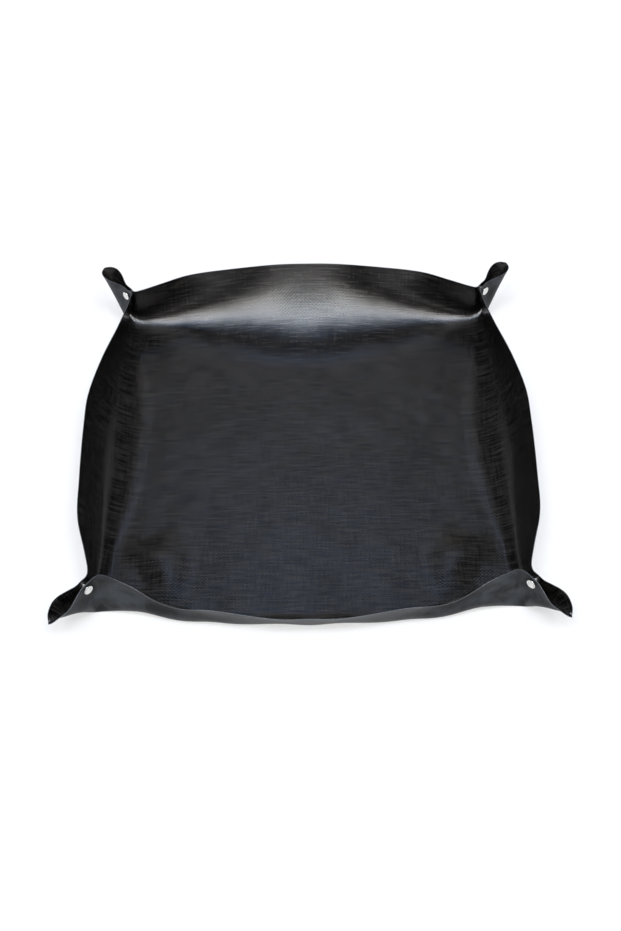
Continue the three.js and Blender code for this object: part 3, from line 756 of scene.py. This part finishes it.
# %% Where the snaps are, and which way each one closes
def snap_place(side, end):
    point = np.zeros(3)
    for wall in (1, -1):
        for i, j, share in corner_place(end, wall, SNAP_INSET, SNAP_ALONG):
            point += share * settled[i, j] / 2
    axis = np.array([side * ROOT, -end * ROOT, 0])
    point *= (side, 1, 1)
    return point - axis * (point @ axis) + (0, to_origin, 0), axis


snaps = {name: snap_place(side, end) for name, (side, end) in corners.items()}
for name, (place, axis) in snaps.items():
    print("snap", name, "at", place.round(1), "closes along", axis.round(2))

# %% Half profiles of the four turned pieces
SEAT_GAP = 0.3
CAP_RISE = 1.0
CAP_DISH = 0.25
CAP_DISH_WALL = 0.9
CAP_DISH_FLOOR = 1.2
CAP_ROLL = 0.45
POST_RADIUS = 0.9
RIVET_DEPTH = 0.6
STUD_FLANGE_RADIUS = 4.0
STUD_FLANGE = 0.6
STUD_NECK_RADIUS = 1.6
STUD_BALL_RADIUS = 2.0
STUD_RISE = 2.2
STUD_CROWN = 0.6
SOCKET_RADIUS = 4.3
SOCKET_DEPTH = 2.9
SOCKET_PLATE = 0.7
sheet_face = SNAP_STACK / 2
cap_seat = sheet_face + SHEET_THICKNESS + SEAT_GAP


def arc(centre, radius, start, end, count=6):
    turns = np.radians(np.linspace(start, end, count))
    return [(centre[0] + radius * math.cos(t), centre[1] + radius * math.sin(t)) for t in turns]


def cap_profile():
    top = cap_seat + CAP_RISE
    rivet = cap_seat - 2 * SEAT_GAP - SHEET_THICKNESS - RIVET_DEPTH
    roll_at = CAP_RADIUS - CAP_ROLL
    return ([(0, rivet), (POST_RADIUS, rivet), (POST_RADIUS, cap_seat), (roll_at, cap_seat)]
            + arc((roll_at, cap_seat + CAP_ROLL), CAP_ROLL, -60, 0, 4)
            + arc((roll_at, top - CAP_ROLL), CAP_ROLL, 0, 90, 6)
            + [(roll_at - 0.5, top - 0.06)]
            + [(roll_at - step, top - CAP_DISH) for step in (CAP_DISH_WALL, CAP_DISH_FLOOR)]
            + [(r, top - CAP_DISH * (0.4 + 0.6 * (r / (roll_at - CAP_DISH_FLOOR)) ** 2))
               for r in (2.4, 1.6, 0.8)]
            + [(0, top - 0.4 * CAP_DISH)])


def stud_profile():
    foot = SEAT_GAP - sheet_face
    deck = foot + STUD_FLANGE
    top = deck + STUD_RISE
    bore = POST_RADIUS + SEAT_GAP
    bulge = top - STUD_CROWN - 0.2
    return ([(0, top - STUD_CROWN), (bore, top - STUD_CROWN), (bore, foot), (STUD_FLANGE_RADIUS, foot)]
            + arc((STUD_FLANGE_RADIUS - 0.2, deck - 0.2), 0.2, 0, 90, 4)
            + arc((STUD_NECK_RADIUS + 0.2, deck + 0.2), 0.2, 270, 180, 4)
            + [(STUD_NECK_RADIUS, bulge - 0.5), (STUD_BALL_RADIUS - 0.08, bulge - 0.15)]
            + [(STUD_BALL_RADIUS, bulge), (STUD_BALL_RADIUS - 0.08, bulge + 0.25)]
            + arc((STUD_NECK_RADIUS - 0.2, top - 0.45), 0.45, 25, 90, 5)
            + [(0, top)])


def socket_profile():
    back = sheet_face - SEAT_GAP
    face = back - SOCKET_DEPTH
    bore = STUD_BALL_RADIUS + SEAT_GAP
    hole = POST_RADIUS + SEAT_GAP
    return ([(hole, back - SOCKET_PLATE), (bore, back - SOCKET_PLATE), (bore, face + SEAT_GAP)]
            + [(bore + SEAT_GAP, face), (SOCKET_RADIUS - 0.5, face)]
            + arc((SOCKET_RADIUS - 0.5, face + 0.5), 0.5, -60, 0, 4)
            + [(SOCKET_RADIUS, back), (hole, back), (hole, back - SOCKET_PLATE)])


for name, points in (("cap", cap_profile()), ("stud", stud_profile()), ("socket", socket_profile())):
    print(name, "profile:", len(points), "points, widest", max(r for r, h in points), "mm")

# %% [markdown]
# ## Nickel plate
# The snaps are stamped from brass strip and nickel plated in a barrel, which leaves a bright,
# faintly warm metal with very fine random scratches.

# %% Bright nickel plate
plated_metal, tree = new_material("nickel_plated_brass")
object_at = add_node(tree, "ShaderNodeTexCoord").outputs["Object"]
scratches = add_node(tree, "ShaderNodeTexNoise", {
    "Vector": object_at, "Scale": 1 / (0.5 * MM), "Detail": 3.0, "Roughness": 0.7})
scratch_relief = add_node(tree, "ShaderNodeBump", {
    "Height": scratches.outputs["Fac"], "Strength": 1.0, "Distance": 0.008 * MM})
plate_gloss = add_node(tree, "ShaderNodeMapRange", {
    "Value": scratches.outputs["Fac"], "From Min": 0.3, "From Max": 0.7, "To Min": 0.16, "To Max": 0.26})
plate_shader = add_node(tree, "ShaderNodeBsdfPrincipled", {
    "Base Color": from_hex("#dcdbd7"), "Metallic": 1.0, "Roughness": plate_gloss.outputs[0],
    "Normal": scratch_relief.outputs[0]})
add_node(tree, "ShaderNodeOutputMaterial", {"Surface": plate_shader.outputs[0]})
print("nickel plate has", len(tree.nodes), "nodes")

# %% [markdown]
# ## Turning a profile with Geometry Nodes
# A grid has one column for each step round the axis and one row for each point of the profile.
# Every grid point looks up its row's point and swings it round. The turned piece is then put on
# every place that the object's own mesh gives, stood up along the axis stored there.

# %% The turning tree
SAME_PLACE = 0.001 * MM
turning = bpy.data.node_groups.new("turned_snap_piece", "GeometryNodeTree")
sides = {}
for name, kind in (("Places", "NodeSocketGeometry"), ("Profile", "NodeSocketObject"),
                   ("Steps round", "NodeSocketInt"), ("Finish", "NodeSocketMaterial")):
    sides[name] = turning.interface.new_socket(name, in_out="INPUT", socket_type=kind).identifier
turning.interface.new_socket("Turned", in_out="OUTPUT", socket_type="NodeSocketGeometry")
given = add_node(turning, "NodeGroupInput").outputs
profile = add_node(turning, "GeometryNodeObjectInfo", {"Object": given["Profile"]}).outputs["Geometry"]
profile_size = add_node(turning, "GeometryNodeAttributeDomainSize", {"Geometry": profile})
profile_count = profile_size.outputs["Point Count"]
columns = add_node(turning, "FunctionNodeIntegerMath", {0: given["Steps round"], 1: 1}, operation="ADD")
grid = add_node(turning, "GeometryNodeMeshGrid", {
    "Vertices X": columns.outputs[0], "Vertices Y": profile_count})
number = add_node(turning, "GeometryNodeInputIndex").outputs[0]
column = add_node(turning, "FunctionNodeIntegerMath", {
    0: number, 1: profile_count}, operation="DIVIDE_FLOOR")
row = add_node(turning, "FunctionNodeIntegerMath", {
    0: number, 1: profile_count}, operation="MODULO")
position = add_node(turning, "GeometryNodeInputPosition").outputs[0]
looked_up = add_node(turning, "GeometryNodeSampleIndex", {
    "Geometry": profile, "Value": position, "Index": row.outputs[0]}, data_type="FLOAT_VECTOR")
share = add_node(turning, "ShaderNodeMath", {
    0: column.outputs[0], 1: given["Steps round"]}, operation="DIVIDE")
swing = add_node(turning, "ShaderNodeMath", {0: share.outputs[0], 1: 2 * math.pi}, operation="MULTIPLY")
swung = add_node(turning, "ShaderNodeVectorRotate", {
    "Vector": looked_up.outputs[0], "Axis": (0, 0, 1), "Angle": swing.outputs[0]})
turned = add_node(turning, "GeometryNodeSetPosition", {
    "Geometry": grid.outputs["Mesh"], "Position": swung.outputs[0]})
closed = add_node(turning, "GeometryNodeMergeByDistance", {
    "Geometry": turned.outputs[0], "Distance": SAME_PLACE})
axis_at = add_node(turning, "GeometryNodeInputNamedAttribute", {
    "Name": "axis"}, data_type="FLOAT_VECTOR")
standing = add_node(turning, "FunctionNodeAlignRotationToVector", {
    "Vector": axis_at.outputs[0]}, axis="Z")
placed = add_node(turning, "GeometryNodeInstanceOnPoints", {
    "Points": given["Places"], "Instance": closed.outputs[0], "Rotation": standing.outputs[0]})
real = add_node(turning, "GeometryNodeRealizeInstances", {"Geometry": placed.outputs[0]})
finished = add_node(turning, "GeometryNodeSetMaterial", {
    "Geometry": real.outputs[0], "Material": given["Finish"]})
add_node(turning, "NodeGroupOutput", {0: finished.outputs[0]})
print("turning tree has", len(turning.nodes), "nodes and inputs", sides)


# %% Turn a profile at some snaps and keep it as a plain mesh
def turned_piece(name, half_profile, places, steps_round=48):
    line = bpy.data.meshes.new(f"{name}_profile")
    points = [(r * MM, 0, h * MM) for r, h in half_profile]
    line.from_pydata(points, [(k, k + 1) for k in range(len(points) - 1)], [])
    profile_object = bpy.data.objects.new(f"{name}_profile", line)
    at = bpy.data.meshes.new(f"{name}_places")
    at.from_pydata([(place * MM).tolist() for place, axis in places], [], [])
    at.attributes.new("axis", "FLOAT_VECTOR", "POINT").data.foreach_set(
        "vector", np.concatenate([axis for place, axis in places]).astype(np.float32))
    maker = bpy.data.objects.new(f"{name}_maker", at)
    bpy.context.collection.objects.link(maker)
    modifier = maker.modifiers.new("turning", "NODES")
    modifier.node_group = turning
    modifier[sides["Profile"]] = profile_object
    modifier[sides["Steps round"]] = steps_round
    modifier[sides["Finish"]] = plated_metal
    evaluated = maker.evaluated_get(bpy.context.evaluated_depsgraph_get())
    mesh = bpy.data.meshes.new_from_object(evaluated)
    mesh.name = name
    for spare in (maker, profile_object):
        bpy.data.objects.remove(spare)
    shell = bmesh.new()
    shell.from_mesh(mesh)
    bmesh.ops.remove_doubles(shell, verts=shell.verts, dist=SAME_PLACE)
    bmesh.ops.recalc_face_normals(shell, faces=shell.faces)
    shell.to_mesh(mesh)
    shell.free()
    mesh.polygons.foreach_set("use_smooth", np.ones(len(mesh.polygons), bool))
    mesh.set_sharp_from_angle(angle=math.radians(50))
    piece = bpy.data.objects.new(name, mesh)
    bpy.context.collection.objects.link(piece)
    print(name, "has", len(mesh.polygons), "faces")
    return piece


# %% Studs and their caps, on the front and back walls' layers
stud_caps = turned_piece("stud_caps", cap_profile(), [(place, -axis) for place, axis in snaps.values()])
studs = turned_piece("studs", stud_profile(), list(snaps.values()))

# %% A socket and its cap on each side wall's layer
sockets, socket_caps = {}, {}
for name, (place, axis) in snaps.items():
    sockets[name] = turned_piece(f"snap_socket_{name}", socket_profile(), [(place, axis)])
    socket_caps[name] = turned_piece(f"snap_socket_cap_{name}", cap_profile(), [(place, axis)])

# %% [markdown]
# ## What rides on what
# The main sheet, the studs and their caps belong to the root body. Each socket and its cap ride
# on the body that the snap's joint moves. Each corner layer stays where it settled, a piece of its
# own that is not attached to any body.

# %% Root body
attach(main_sheet, "root")
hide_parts("tray_sheet")
for piece, node in ((stud_caps, "stud_cap"), (studs, "stud")):
    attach(piece, "root")
    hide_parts(*(f"{node}_{name}" for name in corners))

# %% Snap bodies
for name in corners:
    layer, share = layers[name]
    place, axis = snaps[name]
    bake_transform(layer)
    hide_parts(f"snap_lobe_{name}")
    for piece, node in ((sockets[name], "socket"), (socket_caps[name], "socket_cap")):
        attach(piece, f"flap_{name}")
        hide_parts(f"{node}_{name}")

flat_area = np.abs((fine_u[cell_c] - fine_u[cell_a]) * (fine_v[cell_d] - fine_v[cell_b])
                   - (fine_u[cell_d] - fine_u[cell_b]) * (fine_v[cell_c] - fine_v[cell_a])) / 2 * MM ** 2
patch_area = {name: float(flat_area[chosen].sum()) for name, chosen in patches.items()}
for name, area in patch_area.items():
    wide, deep = PATCH_INSET * MM, (PATCH_TO - PATCH_FROM) * MM
print("flat area in square metres:", round(float(flat_area.sum()), 4))
print("of which each corner layer has:", {n: round(a, 5) for n, a in patch_area.items()})

# %% [markdown]
# ## Floor and light
# The photograph is a studio picture on white. A black semi-gloss sheet has hardly a colour of
# its own: what shapes it are the reflections. A row of softboxes above the tray gives the bright
# band where the base turns up into the back wall, weaker ones toward the camera fade it out up
# that wall, and the base mirrors a pale wall and a bluish window behind the tray. Area lamps could
# do that, but wide suns look the same size from every place on the tray, so each reflection stays
# where it belongs. The floor is a plain white board that turns up into slopes far away, so that
# every low view has white behind it too, and mirrors white in the snap caps and the outer face.

# %% White board, turned up into slopes far away, in metres
# The floor is part paint and part glow where it is seen, so that it is white and keeps shadows.
FLOOR_HALF, RIM_HALF, RIM_HIGH = 6.0, 10.5, 2.8
FLOOR_GLOW, SLOPE_GLOW = 0.55, 1.0
floor_drop = 0.2 * MM
stage_points = [(x * size, y * size, z) for size, z in ((FLOOR_HALF, -floor_drop), (RIM_HALF, RIM_HIGH))
                for x, y in ((-1, -1), (1, -1), (1, 1), (-1, 1))]
stage_faces = [(0, 1, 2, 3)] + [(k, k + 4, (k + 1) % 4 + 4, (k + 1) % 4) for k in range(4)]
board_mesh = bpy.data.meshes.new("studio_board")
board_mesh.from_pydata(stage_points, [], stage_faces)
studio_board = bpy.data.objects.new("studio_board", board_mesh)
bpy.context.collection.objects.link(studio_board)


def seen_directly(tree):
    rays = add_node(tree, "ShaderNodeLightPath").outputs
    first = add_node(tree, "ShaderNodeMath", {
        0: rays["Is Camera Ray"], 1: rays["Is Glossy Ray"]}, operation="MAXIMUM")
    return add_node(tree, "ShaderNodeMath", {
        0: first.outputs[0], 1: rays["Is Transmission Ray"]}, operation="MAXIMUM").outputs[0]


def white_board(name, glow_part):
    finish, tree = new_material(name)
    paint = add_node(tree, "ShaderNodeBsdfDiffuse", {"Color": from_hex("#e8e8e8")})
    glow = add_node(tree, "ShaderNodeEmission", {"Color": (1, 1, 1, 1), "Strength": 1.0})
    share = add_node(tree, "ShaderNodeMath", {
        0: seen_directly(tree), 1: glow_part}, operation="MULTIPLY")
    mix = add_node(tree, "ShaderNodeMixShader", {
        0: share.outputs[0], 1: paint.outputs[0], 2: glow.outputs[0]})
    add_node(tree, "ShaderNodeOutputMaterial", {"Surface": mix.outputs[0]})
    board_mesh.materials.append(finish)


white_board("matt_white_studio_board", FLOOR_GLOW)
white_board("glowing_white_backdrop", SLOPE_GLOW)
board_mesh.polygons.foreach_set("material_index", [0, 1, 1, 1, 1])
print("board is", 2 * FLOOR_HALF, "m wide")

# %% Dim surroundings above the walls
world = bpy.data.worlds.new("dim_studio")
bpy.context.scene.world = world
world.use_nodes = True
world.node_tree.nodes.clear()
dim = add_node(world.node_tree, "ShaderNodeBackground", {"Color": (1, 1, 1, 1), "Strength": 0.06})
add_node(world.node_tree, "ShaderNodeOutputWorld", {"Surface": dim.outputs[0]})


# %% Wide suns, tilted from straight above toward the camera and to the right
def sun(name, strength, angle, tilt_to_front, tilt_to_right, colour):
    lamp = bpy.data.lights.new(name, "SUN")
    lamp.energy, lamp.angle, lamp.color = strength, math.radians(angle), from_hex(colour)[:3]
    piece = bpy.data.objects.new(name, lamp)
    piece.rotation_euler = (math.radians(tilt_to_front), math.radians(tilt_to_right), 0)
    piece.location = (0, 0, 1.5)
    bpy.context.collection.objects.link(piece)
    print(name, "gives", strength, "W/m2 over", angle, "degrees")


for name, turn in (("left", -18), ("middle", 0), ("right", 18)):
    sun(f"softbox_{name}", 0.97, 15.5, 17.5, turn, "#f2f7ff")
    sun(f"softbox_edge_{name}", 0.12, 9, 5.5, turn, "#7db0f0")
for name, turn in (("softbox_end_left", -20), ("softbox_end_right", 20)):
    sun(name, 0.62, 15, 32, turn, "#fffdfa")
sun("ceiling_toward_camera", 0.09, 13, 35, 0, "#fffdfa")
sun("ceiling_left", 0.2, 16, 42, -21, "#fffdfa")
sun("ceiling_right", 0.05, 16, 42, 21, "#fffdfa")
sun("pale_wall_behind", 0.074, 23, -37, 0, "#fff3e0")
sun("pale_wall_low", 0.012, 10, -50, 0, "#fff2e0")
sun("window_behind", 0.06, 13, -34, 0, "#4fa8ff")

# %% [markdown]
# ## Camera
# The photograph's viewpoint was found by fitting the settled rim to the photographed one: the
# camera stands low enough to see into the tray, about 1.3 m away. Its numbers are in pixels of a
# picture 621 wide and 931 high.

# %% Camera at the photograph's place
PICTURE_WIDE, PICTURE_HIGH = 621, 931
FOCAL_PX, CENTRE_X, CENTRE_Y = 1284.74, 307.84, 451.71
DISTANCE, ELEVATION, YAW, ROLL = 1.32481, 47.0, -0.07, -0.71
SENSOR = 36.0
up_angle, roll = math.radians(ELEVATION), math.radians(ROLL)
turn_about = Matrix.Rotation(math.radians(YAW), 3, "Z")
back_way = turn_about @ Vector((0, -math.cos(up_angle), math.sin(up_angle)))
level_right = turn_about @ Vector((1, 0, 0))
level_up = turn_about @ Vector((0, math.sin(up_angle), math.cos(up_angle)))
right = level_right * math.cos(roll) + level_up * math.sin(roll)
upward = level_up * math.cos(roll) - level_right * math.sin(roll)
camera = bpy.data.objects.new("camera", bpy.data.cameras.new("camera"))
bpy.context.collection.objects.link(camera)
camera.data.sensor_width = SENSOR
camera.data.lens = FOCAL_PX * SENSOR / PICTURE_HIGH
camera.data.shift_x = (PICTURE_WIDE / 2 - CENTRE_X) / PICTURE_HIGH
camera.data.shift_y = (CENTRE_Y - PICTURE_HIGH / 2) / PICTURE_HIGH
facing = Matrix((right, upward, back_way)).transposed().to_4x4()
camera.matrix_world = Matrix.Translation(back_way * DISTANCE) @ facing
bpy.context.scene.camera = camera
bpy.context.scene.view_settings.view_transform = "Standard"
print("lens", round(camera.data.lens, 2), "mm")
print("shift", round(camera.data.shift_x, 4), round(camera.data.shift_y, 4))
